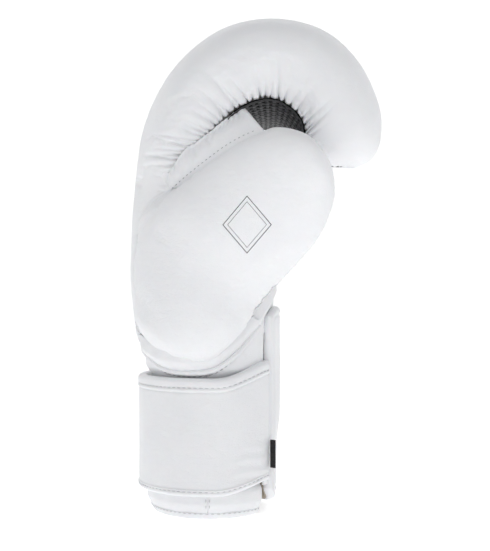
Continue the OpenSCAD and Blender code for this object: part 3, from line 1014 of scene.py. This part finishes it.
def mesh_panel():
    """Open mesh in the curl, with a near-black sheet behind it that paints the shade seen through
    the holes.
    """
    def line(u):
        return fist_skin(u, np.radians(205))

    length = arc(line(np.linspace(MESH_FROM, FIST_END - 0.05, 900)))[-1]
    count = int(length / MESH_PITCH)
    centres = even_stations(line, MESH_FROM + 0.03, FIST_END - 0.06, 2 * count + 1)
    bar = MESH_BAR / MESH_PITCH
    us = np.concatenate([[centres[2 * k], mix(centres[2 * k], centres[2 * k + 2], bar)]
                         for k in range(count)])
    a1 = mix(np.radians(PALM_EDGE), 2 * PI + near_edge(us) + 0.045,
             np.clip(us - CLOSED_FROM + 1, 0, 1))
    cells = np.arange(MESH_CELLS) / MESH_CELLS
    share = np.sort(np.concatenate([cells, cells + bar / MESH_CELLS]))
    angle = spread(fist_skin, us, far_seam(us) + 0.01, a1, share)
    p = fist_skin(us[:, None], angle)
    n = outward(p, fist_core(us[:, None], angle))
    i, j = np.indices(angle.shape)
    wave = 0.16 * np.where((i // 2 + j // 2) % 2 == 0, 1, -1)
    sag = 0.8 * np.sin(PI * np.linspace(0, 1, 2 * MESH_CELLS))[None]
    front = p + n * (wave - 1.0 - sag)[..., None]
    hole = ((i % 2 == 1) & (j % 2 == 1))[:-1, :-1]
    ob = add_mesh("mesh_panel", front, grid_faces(*angle.shape)[~hole.reshape(-1)], MESH)
    thicken(ob, 0.5)
    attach(ob, "glove")
    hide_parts("palm_mesh")
    # Near-black sheet behind the mesh, painted shade seen through its holes
    back = p - n * (2.2 + sag)[..., None]
    back_ob = add_grid("mesh_hole_shade_sheet", back, MESH_HOLE_SHADE)
    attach(back_ob, "glove")


def ruled(a, b, v):
    """Straight rows of points from each point of line a to the same one of line b."""
    return a[:, None] * (1 - v)[..., None] + b[:, None] * v[..., None]


WEB_FOLD_RADIUS = 1.4
WEB_FOLD_STEPS = 6


def web_panel():
    """Strip that ties the thumb to the fist, folded over at its open end."""
    u, v = np.meshgrid(np.linspace(0, 1, 90), np.linspace(-0.12, 1.14, 64), indexing="ij")
    us = u[:, 0]
    hood_u = mix(3.3, 5.5, us)
    hood_side = fist_skin(hood_u, near_edge(hood_u))
    thumb_side = lobe_point(mix(5.0, 8.5, us), 0)
    p = ruled(hood_side, thumb_side, v)
    n = unit(np.cross(np.array([0.7, -0.1, 0.6]), thumb_side - hood_side))[:, None]
    n = n * np.where(n[..., 1:2] > 0, -1, 1)
    puff = 3.0 * np.sin(PI * np.clip(v, 0, 1)) * np.sin(PI * np.clip(u, 0.06, 0.94)) ** 0.6
    t = arc(p)
    hood_col, thumb_col = 7, 50
    s = arc(p[:, hood_col])[:, None]
    crease = pleats(s, np.abs(t - t[:, hood_col:hood_col + 1]), 41, 2, s.max() - 3, 3.2, 1.1,
                    (7, 17), 0.3, (0.5, 0.8))
    p = p + n * (puff - crease - 0.7 + noise_at(p, 9.0, 2.0) * 0.5)[..., None]
    row = stitch_row(p[6:86, thumb_col], n[6:86, 0], 1.7, 1.1, 0.26)
    way = unit(p[-1] - p[-2])
    fold = [p[-1] + WEB_FOLD_RADIUS * (way * math.sin(turn) - n[-1] * (1 - math.cos(turn)))
            for turn in np.linspace(0, PI, WEB_FOLD_STEPS + 1)[1:]]
    p = np.concatenate([p, fold, (fold[-1] - way * 9)[None]])
    ob = add_panel("thumb_web_skin", p, WHITE)
    thumb_blend(ob)
    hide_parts("thumb_web")
    st = add_stitches("web_stitches", [row], SHADE_GREY_THREAD)
    thumb_blend(st)


def gusset_panel():
    """Panel between the palm and the inner side of the thumb."""
    us = np.linspace(0, 1, 110)
    v = np.tile(np.linspace(-0.03, 1.02, 40), (len(us), 1))
    palm_side = fist_skin(mix(0.02, 4.3, us), np.radians(PALM_EDGE))
    thumb_side = lobe_point(mix(2.6, 6.6, us), np.radians(mix(165, 125, us)))
    p = ruled(palm_side, thumb_side, v)
    n = unit(np.cross(thumb_side - palm_side, np.gradient(palm_side, axis=0)))[:, None]
    n = n * np.where(n[..., 0:1] < 0, -1, 1)
    rise = 0.4 * noise_at(p, 14.0, 3.0) - 2.0 * np.sin(PI * np.clip(v, 0, 1)) - 0.8
    ob = add_panel("thumb_gusset_skin", p + n * rise[..., None], WHITE)
    thumb_blend(ob)
    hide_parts("thumb_gusset")


def grip_roll():
    """Padded roll that the fingers close on."""
    lo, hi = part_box("grip_bar")
    centre = (np.array(lo) + np.array(hi)) / 2 / MM
    radius = (hi[0] - lo[0]) / 2 / MM
    y = np.linspace(lo[1] / MM, hi[1] / MM, 120)
    line = np.stack([0 * y + centre[0], y, 0 * y + centre[2]], -1)
    r = radius * (0.97 + 0.03 * np.sin(y * 0.9) * np.sin(y * 0.37))
    ob = tube("grip_roll", line, r, WHITE_TRIM, 32)
    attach(ob, "glove")
    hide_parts("grip_bar")


palm_panel()
mesh_panel()
web_panel()
gusset_panel()
grip_roll()


# ---------------------------------------------------------------- linings


def hand_lining():
    """Lining of the hand space, open where the thumb goes in."""
    us = np.linspace(0.4, FIST_END - 0.4, 120)
    angle = spread(fist_core, us, far_seam(us) - 2 * PI + 0.02, far_seam(us),
                   np.linspace(0, 1, 90))
    p = fist_core(us[:, None], angle)
    n = outward(p, p.mean(1, keepdims=True))
    p = p - n * (0.5 + 0.5 * noise_at(p, 9.0, 2.0))[..., None]
    way_in = (angle > np.radians(-128)) & (angle < near_edge(us)[:, None])
    way_in &= (us < CLOSED_FROM)[:, None]
    faces = grid_faces(*angle.shape)
    faces = faces[~way_in.reshape(-1)[faces].all(1)]
    ob = add_mesh("hand_lining_cloth", p, faces, LINING)
    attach(ob, "glove")
    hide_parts("hand_lining")


def thumb_lining():
    """Lining of the thumb, inside its padding."""
    u, a = np.meshgrid(np.linspace(6.0, LOBE_END - 1.4, 60),
                       np.linspace(0, 2 * PI, 60, endpoint=False), indexing="ij")
    p = lobe_point(u, a)
    mid = p.mean(1, keepdims=True)
    size = np.linalg.norm(p - mid, axis=-1, keepdims=True)
    p = mid + (p - mid) * np.maximum(1 - 8.2 / np.maximum(size, 1), 0.12)
    ob = add_grid("thumb_lining_cloth", p, LINING, True)
    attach(ob, "thumb")
    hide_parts("thumb_lining")


hand_lining()
thumb_lining()


# ---------------------------------------------------------------- cuff

CUFF_SEAM = -90.5
CUFF_FOOT = HEM_H - 3.6


def flat_out(p):
    """Level unit vectors straight out from the middle of the cuff."""
    return unit(p * LEVEL)


def cuff_stitches(line, thick=0.26):
    """Stitches along a line on the cuff or the strap."""
    return stitch_row(line, flat_out(line), 2.2, 1.1, thick)


def cuff_skin():
    """Padded wall of the cuff, with a seam down the thumb side."""
    def height(a, v):
        return mix(CUFF_FOOT, cuff_top(a) + 8, v)

    def point(a, v, o):
        return cuff_point(a, height(a, v), o)

    def relief(a, v, su, sv):
        from_seam = a % 360 - CUFF_SEAM % 360
        seam = 0.25 * np.exp(-(from_seam / 2.4) ** 2) - 0.9 * np.exp(-(from_seam / 0.55) ** 2)
        z = height(a, v)
        wave = 0.28 * np.sin(a * 0.23 + z * 0.05) * np.sin(z * 0.11 + a * 0.07)
        return seam + wave + cuff_swell(z) - 6.0 * smooth((z - cuff_top(a) + 1) / 5)

    angles = np.concatenate([np.linspace(SLIT, 262, 150), np.linspace(262.6, 276, 60),
                             np.linspace(276.6, 360 - SLIT, 60)])
    ob = closed_pad("cuff_skin", point, angles, dense_ends(90, 3, 1.5, 0.05), -4.6, 0.0, -8.1,
                    3.6, WHITE, relief)
    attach(ob, "glove")
    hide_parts("cuff_leather_thumb_side", "cuff_leather_little_finger_side",
                "cuff_foam_thumb_side", "cuff_foam_little_finger_side")


def cuff_lining():
    """Lining just inside the cuff's padding."""
    a, v = np.meshgrid(np.linspace(SLIT + 1.2, 358.8 - SLIT, 130), np.linspace(0, 1, 40),
                       indexing="ij")
    p = cuff_point(a, mix(HEM_H, cuff_top(a) - 8, v), -8.6)
    p = p + flat_out(p) * (0.25 * noise_at(p, 8.0, 6.0))[..., None]
    ob = add_grid("cuff_lining_cloth", p, LINING)
    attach(ob, "glove")
    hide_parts("cuff_lining")


def cuff_hem():
    """Folded edge round the mouth of the cuff, and the cuff's stitches."""
    a = np.concatenate([np.linspace(SLIT, SLIT + 3, 12), np.linspace(SLIT + 3.6, 356.4 - SLIT, 260),
                        np.linspace(357 - SLIT, 360 - SLIT, 12)])
    a, turn = np.meshgrid(a, np.linspace(0, 2 * PI, 36, endpoint=False), indexing="ij")
    k = rounded(np.minimum(a - SLIT, 360 - SLIT - a) * 0.68, 2.0, 0.0004)
    flatness = 0.55
    o = -4.25 + 4.8 * squared(np.cos(turn), flatness) * mix(0.8, 1, k) * np.maximum(k, 0.15)
    z = 2.45 + 2.42 * squared(np.sin(turn), flatness) * k
    p = cuff_point(a, z, o + cuff_swell(z) + 0.12 * np.sin(a * 1.9) * np.sin(a * 0.61))
    ob = face_outwards(add_mesh("cuff_hem_fold", p, capped_faces(*a.shape), WHITE_TRIM))
    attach(ob, "glove")
    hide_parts("cuff_hem")
    a = np.linspace(SLIT + 2, 358 - SLIT, 400)
    rows = [cuff_stitches(cuff_point(a, 3.6, 0.5 + cuff_swell(3.6)))]
    for side in (-1.6, 1.6):
        for z0, z1 in ((6.5, STRAP_Z0 - 0.5), (STRAP_Z1 + 0.5, cuff_top(CUFF_SEAM) - 3)):
            z = np.linspace(z0, z1, 30)
            rows.append(cuff_stitches(cuff_point(CUFF_SEAM + side, z, 0.25 + cuff_swell(z))))
    st = add_stitches("cuff_stitches", rows, PALE_THREAD)
    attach(st, "glove")


def piping_height(a):
    """Height of the piping, which follows the cuff's top edge but stays above the strap."""
    high, low = cuff_top(a) - 3.8, STRAP_Z1 + 1.6
    return (high + low + np.sqrt((high - low) ** 2 + 12)) / 2


def thumb_base():
    """Leather that swells out over the piping and goes up under the thumb's pad."""
    a, t = np.meshgrid(np.linspace(-177, -44, 170), np.linspace(0, 1, 26), indexing="ij")
    z = piping_height(a)
    flare = 6.2 * smooth((a + 178) / 30) * (1 - 0.72 * smooth((a + 118) / 34))
    height = mix(14.0, 5.0, smooth((a + 56) / 12))
    o = 0.6 + cuff_swell(z) + flare * np.sin(PI / 2 * np.clip(t * 2, 0, 1))
    p = cuff_point(a, z + height * t, o)
    s = arc_down(p)
    crease = pleats(s, height * t, 61, 8, s[-1, 0] - 16, 5.2, 0.5, (5, 11))
    p = p + flat_out(p) * (0.3 * noise_at(p, 9.0, 4.0) - crease)[..., None]
    ob = face_outwards(add_grid("thumb_base_skin", p, WHITE))
    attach(ob, "glove")


def piping():
    """Corded edge where the cuff is sewn to the padded fist."""
    a = np.linspace(FLAP_A0 - 11, FLAP_A1 + 9 - 360, 420)
    radius = 1.5
    z = piping_height(a)
    line = cuff_point(a, z, radius - 0.1 + cuff_swell(z))
    r = radius * (1 + 0.035 * np.sin(a * 2.9) * np.sin(a * 0.83))
    ob = tube("cuff_piping", line, r, WHITE_TRIM, 16)
    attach(ob, "glove")
    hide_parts("hood_piping")
    out = flat_out(line)
    low = line - np.array([0, 0, 2.3]) - out * 1.5
    st = add_stitches("piping_stitches", [stitch_row(low, out, 2.0, 1.3, 0.22)], SHADE_GREY_THREAD)
    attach(st, "glove")


cuff_skin()
cuff_lining()
cuff_hem()
thumb_base()
piping()


# ---------------------------------------------------------------- strap and palm flap

TOP_BINDING = 7.5
LOW_BINDING = 4.5
STRAP_SPLIT = -136.0


def strap_rise(a):
    """The root of the strap is cut higher where it meets the flap."""
    return 8.0 * smooth((a + 84) / 52)


def strap_point(a, z, o):
    """A point of the strap, given as on the cuff, with the rise towards its root."""
    lift = strap_rise(a)
    return cuff_point(a, z + lift * mix(0.85, 1.15, (z - STRAP_Z0) / STRAP_H), o)


def strap_relief(a, z):
    """Height of the bindings, seams and unevenness of the strap's outer face."""
    top = STRAP_Z1 - z
    low = z - STRAP_Z0
    step = 0.55 * (1 - smooth((top - TOP_BINDING + 0.7) / 1.0))
    step += 0.55 * (1 - smooth((low - LOW_BINDING + 0.7) / 1.0))
    sewn = -0.5 * np.exp(-((top - 5.4) / 0.55) ** 2) - 0.35 * np.exp(-((low - 3.0) / 0.5) ** 2)
    sewn -= 0.35 * np.exp(-((top - TOP_BINDING - 0.5) / 0.5) ** 2)
    soft = 0.35 * np.sin(PI * np.clip((z - STRAP_Z0) / STRAP_H, 0, 1))
    wave = 0.3 * np.sin(a * 0.11 + 1.0) * np.sin(z * 0.09 + a * 0.03)
    fold = 0.22 * np.sin(z * 0.9 + 2.2 * np.sin(a * 0.12)) * smooth((a + 78) / 20)
    fold = fold * smooth((44 - z) / 12)
    return step + sewn + soft + wave + fold


def strap_stitches(name, a):
    """Two rows of stitches along the bindings, at the angles a."""
    rows = [cuff_stitches(strap_point(a, height, STRAP_OUT + 0.45), 0.25)
            for height in (STRAP_Z1 - 5.4, STRAP_Z0 + 3.0)]
    return add_stitches(name, rows, PALE_THREAD)


def bend_at(angle, *pieces, bodies):
    """Bakes the transforms of pieces of the strap into their meshes; bodies is not used."""
    start, end = (cuff_point(angle + way, STRAP_MID, 4.0) * MM for way in (9.0, -9.0))
    for piece in pieces:
        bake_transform(piece)


def strap_pieces():
    """The strap in two lengths, with their stitches."""
    first, last = STRAP_CUTS[0], STRAP_CUTS[3]
    front = strap_shell("strap_front_skin", STRAP_SPLIT, first)
    front_st = strap_stitches("strap_front_stitches", np.linspace(STRAP_SPLIT + 0.1, first - 2, 300))
    back = strap_shell("strap_back_skin", last, STRAP_SPLIT)
    back_st = strap_stitches("strap_back_stitches", np.linspace(last + 2, STRAP_SPLIT - 0.1, 300))
    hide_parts("strap_cover_root", "strap_core_root", "strap_lining_root",
                "strap_binding_root", "strap_cover_middle", "strap_core_middle",
                "strap_lining_middle", "strap_binding_middle")
    bend_at(STRAP_CUTS[1], front, front_st, bodies=("strap_root", "strap_middle"))
    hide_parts("strap_cover_end", "strap_core_end", "strap_lining_end",
                "strap_binding_end")
    bend_at(STRAP_CUTS[2], back, back_st, bodies=("strap_middle", "strap_end"))


def strap_shell(name, a0, a1):
    """A closed length of strap, open only where the other length carries on."""
    z = np.unique(np.concatenate([np.linspace(STRAP_Z0, STRAP_Z0 + 7, 24),
                                  np.linspace(STRAP_Z0 + 7.5, STRAP_Z1 - 10, 60),
                                  np.linspace(STRAP_Z1 - 9.6, STRAP_Z1, 34)]))
    a, z = np.meshgrid(np.linspace(a0, a1, 190), z, indexing="ij")
    k = rounded(np.minimum(STRAP_Z1 - z, z - STRAP_Z0), 2.6)
    end = (STRAP_CUTS[0] - a) * 0.66 if a1 == STRAP_CUTS[0] else (a - STRAP_CUTS[3]) * 0.7
    k = np.minimum(k, rounded(end, 2.4))
    mid = (STRAP_IN + STRAP_OUT) / 2
    outer = strap_point(a, z, mid + (STRAP_OUT - mid + strap_relief(a, z)) * k)
    inner = strap_point(a, z, mid - (mid - STRAP_IN) * k)
    ring = np.concatenate([outer, inner[:, ::-1][:, 1:-1]], 1)
    ob = add_grid(name, ring, WHITE, True)
    weld(ob.data)
    return face_outwards(ob)


def weld(me):
    """Joins points that lie on each other, such as those of a swept shell's closed end."""
    bm = bmesh.new()
    bm.from_mesh(me)
    bmesh.ops.remove_doubles(bm, verts=bm.verts, dist=0.00001)
    bmesh.ops.recalc_face_normals(bm, faces=bm.faces)
    bm.to_mesh(me)
    bm.free()
    shade_smooth(me)


def flap_pieces():
    """Padded palm flap, and the lining on its inner side."""
    def point(u, v, o):
        a = mix(FLAP_A0, FLAP_A1, u)
        rounding = 9 * np.abs(2 * u - 1) ** 5
        z = mix(FLAP_Z0 + rounding, FLAP_Z1 - rounding * 0.6, v)
        sink = 6.0 * smooth((62 - z) / 50) * smooth((22 - np.abs(a + 3)) / 16)
        return cuff_point(a, z, o - sink)

    def relief(u, v, su, sv):
        groove = -0.55 * np.exp(-((from_edges(su, sv) - 5.0) / 0.6) ** 2)
        return groove + 0.25 * np.sin(sv * 0.13 + 1) * np.sin(su * 0.15)

    ob = closed_pad("palm_flap_skin", point, dense_ends(90, 2.5, 2.5, 0.08),
                    dense_ends(130, 2.5, 2.5, 0.05), 2.6, FLAP_OUT, 1.2, 3.0, WHITE, relief)
    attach(ob, "palm_flap")
    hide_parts("flap_leather", "flap_foam")
    ob = closed_pad("flap_lining_cloth", point, np.linspace(0.004, 0.996, 60),
                    np.linspace(0.004, 0.996, 80), 1.1, 1.35, FLAP_IN, 0.8, BEIGE)
    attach(ob, "palm_flap")
    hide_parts("flap_lining")


def strap_fold():
    """Thickened leather strip between the edge of the flap and the root of the strap."""
    a, z = np.meshgrid(np.linspace(STRAP_CUTS[0] - 5, FLAP_A0 + 5, 26),
                       np.linspace(STRAP_Z0 + 4, STRAP_Z1 - 4, 40), indexing="ij")
    out = 4.4
    ob = add_grid("strap_fold_skin", cuff_point(a, z, out + 0.1 * np.sin(z * 0.4)), WHITE)
    thicken(ob, 1.4)
    start, end = (cuff_point(STRAP_CUTS[0] + way, STRAP_MID, out) * MM for way in (4.5, -3.0))
    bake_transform(ob)


def woven_tab():
    """Tape folded in two, with its ends caught at the root of the strap."""
    k = np.linspace(0, 1, 34)[:, None]
    turn = 2 * PI * k
    a = STRAP_CUTS[0] - 1.0 + 0.578 * np.cos(turn) + 0.5 * np.sin(turn)
    out = STRAP_OUT + 0.4 + 1.75 * (1 - np.cos(PI * np.minimum(2 * k, 2 - 2 * k)))
    p = cuff_point(a, np.linspace(28, 44, 26), out)
    ob = add_grid("woven_tab_loop", p, WOVEN)
    thicken(ob, 0.35, -1)
    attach(ob, "strap_root")
    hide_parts("woven_tab")


def tape_patch(name, node, material, body, o0, o1, a0, a1):
    """A rounded patch of tape between two heights off the cuff and two angles."""
    lo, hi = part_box(node)

    def point(u, v, o):
        corner = 2.5 * (np.abs(2 * v - 1) ** 12)
        return cuff_point(mix(a0 + corner, a1 - corner, u), mix(lo[2] / MM, hi[2] / MM, v), o)

    def relief(u, v, su, sv):
        return 0.12 * np.sin(su * 4.1) * np.sin(sv * 3.7)

    ob = closed_pad(name, point, np.linspace(0, 1, 90), np.linspace(0, 1, 70),
                    (o0 + o1) / 2, o1, o0, 0.6, material, relief)
    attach(ob, body)
    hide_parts(node)


strap_pieces()
flap_pieces()
strap_fold()
woven_tab()
tape_patch("loop_tape_patch", "loop_patch", LOOP, "glove", 0.1, 1.1, 128, 186)
tape_patch("hook_tape_patch", "hook_tape", HOOK, "strap_end", 1.4, 2.3, -218, -170)


# ---------------------------------------------------------------- emblem on the thumb

EMBLEM_AT = np.array([21.9, 166.5])
EMBLEM_CORNERS = np.array([(0, 1.0), (0.86, 0), (0, -1.0), (-0.86, 0)])


def emblem():
    """A plain printed rhombus on the thumb, in two thin outlines."""
    tree = tree_of(lobe_points, grid_faces(*lobe_points.shape[:2]))
    rows, faces = [], []

    def drop(at):
        """The point of the thumb behind a place in the front view, a little outside it."""
        hit, normal, _, _ = tree.ray_cast(Vector((at[0], -200.0, at[1])), Vector((0, 1, 0)))
        return np.array(hit) + np.array(normal) * (0.07 if normal[1] < 0 else -0.07)

    for size, wide in ((15.5, 0.55), (12.4, 0.3)):
        corners = EMBLEM_CORNERS * size
        outline = [mix(corners[k], corners[(k + 1) % 4], j) for k in range(4)
                   for j in np.linspace(0, 1, 24, endpoint=False)]
        for k, q in enumerate(outline):
            a, b = (len(rows) - 2 * k + 2 * (i % len(outline)) for i in (k, k + 1))
            faces.append([a, b, b + 1, a + 1])
            rows += [drop(EMBLEM_AT + q), drop(EMBLEM_AT + q * (1 - wide / size))]
    ob = add_mesh("thumb_emblem", np.array(rows), faces, INK)
    thumb_blend(ob)


emblem()


# ---------------------------------------------------------------- stage, light and camera

FLOOR_FRONT = -14.0
WALL_FOOT = 1.4
WALL_BEND = 0.8
WALL_TOP = 3.5
BACKDROP_SIDE = 12.0
UNDER_GLOVE = 0.3


def backdrop():
    """Pale floor that curves up into a pale wall behind the object. Its sizes are in metres."""
    run = [(FLOOR_FRONT, 0.0), (-1.0, 0.0), (WALL_FOOT, 0.0)]
    run += [(WALL_FOOT + WALL_BEND * math.sin(t), WALL_BEND * (1 - math.cos(t)))
            for t in np.linspace(0.1, PI / 2, 16)]
    run += [(WALL_FOOT + WALL_BEND, WALL_TOP)]
    p = np.array([[(side * BACKDROP_SIDE, y, z) for side in (1, -1)] for y, z in run]) / MM
    p[..., 2] -= UNDER_GLOVE
    n = Nodes("pale_backdrop", (0.93, 0.93, 0.93), 0.9)
    n.color(n.noise(n.place(), 1.5, 2.0, 0.5), (0.92, 0.92, 0.92), (0.94, 0.94, 0.94))
    n.b.inputs["Emission Color"].default_value = (1, 1, 1, 1)
    n.b.inputs["Emission Strength"].default_value = 0.52
    add_grid("backdrop", p, n.m)


def area_light(name, where, size, power):
    """A rectangular lamp that looks at the glove."""
    data = bpy.data.lights.new(name, "AREA")
    data.shape = "RECTANGLE"
    data.size, data.size_y = size
    data.energy = power
    ob = bpy.data.objects.new(name, data)
    ob.location = where
    way = Vector((0.02, 0.0, 0.15)) - Vector(where)
    ob.rotation_euler = way.to_track_quat("-Z", "Y").to_euler()
    bpy.context.scene.collection.objects.link(ob)


def stage():
    """Backdrop, world, lamps and camera."""
    backdrop()
    world = bpy.data.worlds.new("studio")
    bpy.context.scene.world = world
    world.use_nodes = True
    sky = world.node_tree.nodes["Background"].inputs
    sky["Color"].default_value = (0.97, 0.98, 1.0, 1)
    sky["Strength"].default_value = 0.36
    area_light("key", (0.22, -1.3, 1.25), (0.45, 0.45), 3.2)
    area_light("front", (0.0, -1.7, 0.45), (0.9, 0.9), 1.9)
    area_light("side", (-1.3, -0.4, 0.6), (0.5, 0.8), 0.3)
    area_light("rear", (0.0, 1.2, 1.3), (0.6, 0.6), 0.3)
    area_light("top", (0.0, -0.2, 1.7), (0.6, 0.6), 1.9)
    scene = bpy.context.scene
    scene.view_settings.view_transform = "Standard"
    cam = bpy.data.objects.new("camera", bpy.data.cameras.new("camera"))
    scene.collection.objects.link(cam)
    cam.location = (0.0208, -0.8, 0.139)
    cam.rotation_euler = (PI / 2, 0, 0)
    cam.data.lens = 87.1
    cam.data.sensor_width = 36
    cam.data.clip_start = 0.01
    scene.camera = cam


stage()
